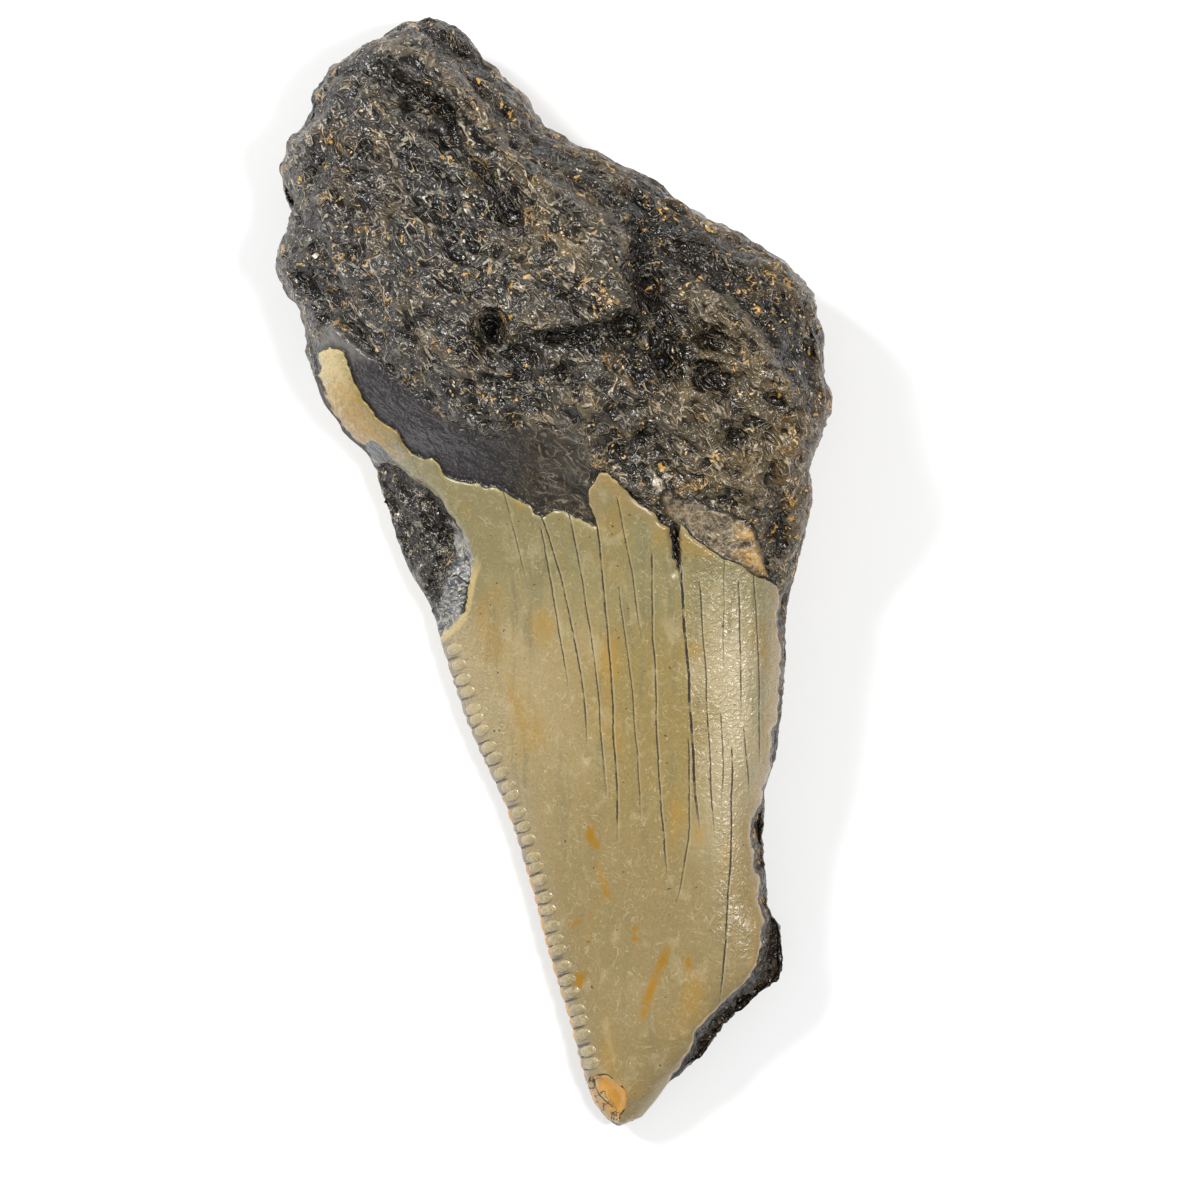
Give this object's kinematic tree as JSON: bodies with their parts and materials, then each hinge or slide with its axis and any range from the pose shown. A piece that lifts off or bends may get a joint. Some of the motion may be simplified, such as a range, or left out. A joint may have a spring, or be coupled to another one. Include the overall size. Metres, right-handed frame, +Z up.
{
  "type": "megalodon tooth",
  "caption": "Partial fossil megalodon tooth with a rough dark root, a smooth olive-tan crown and a serrated cutting edge; broken along its length, lies flat for display.",
  "frame": {"origin": "on the surface the tooth lies on, under the centre of its bounding box", "axes": "+Z up, out of the tooth's convex (tongue-side) face; +Y along its length, from the crown's tip to the root; +X across its width, from the serrated cutting edge to the broken edge"},
  "size_m": [0.0446, 0.0888, 0.0202],
  "materials": {
    "tooth": "dark, rough mineralised root; smooth, softly glossy olive-tan enamel; dark matt fracture"
  },
  "bodies": {
    "root": {"tooth": "tooth"}
  },
  "joints": []
}
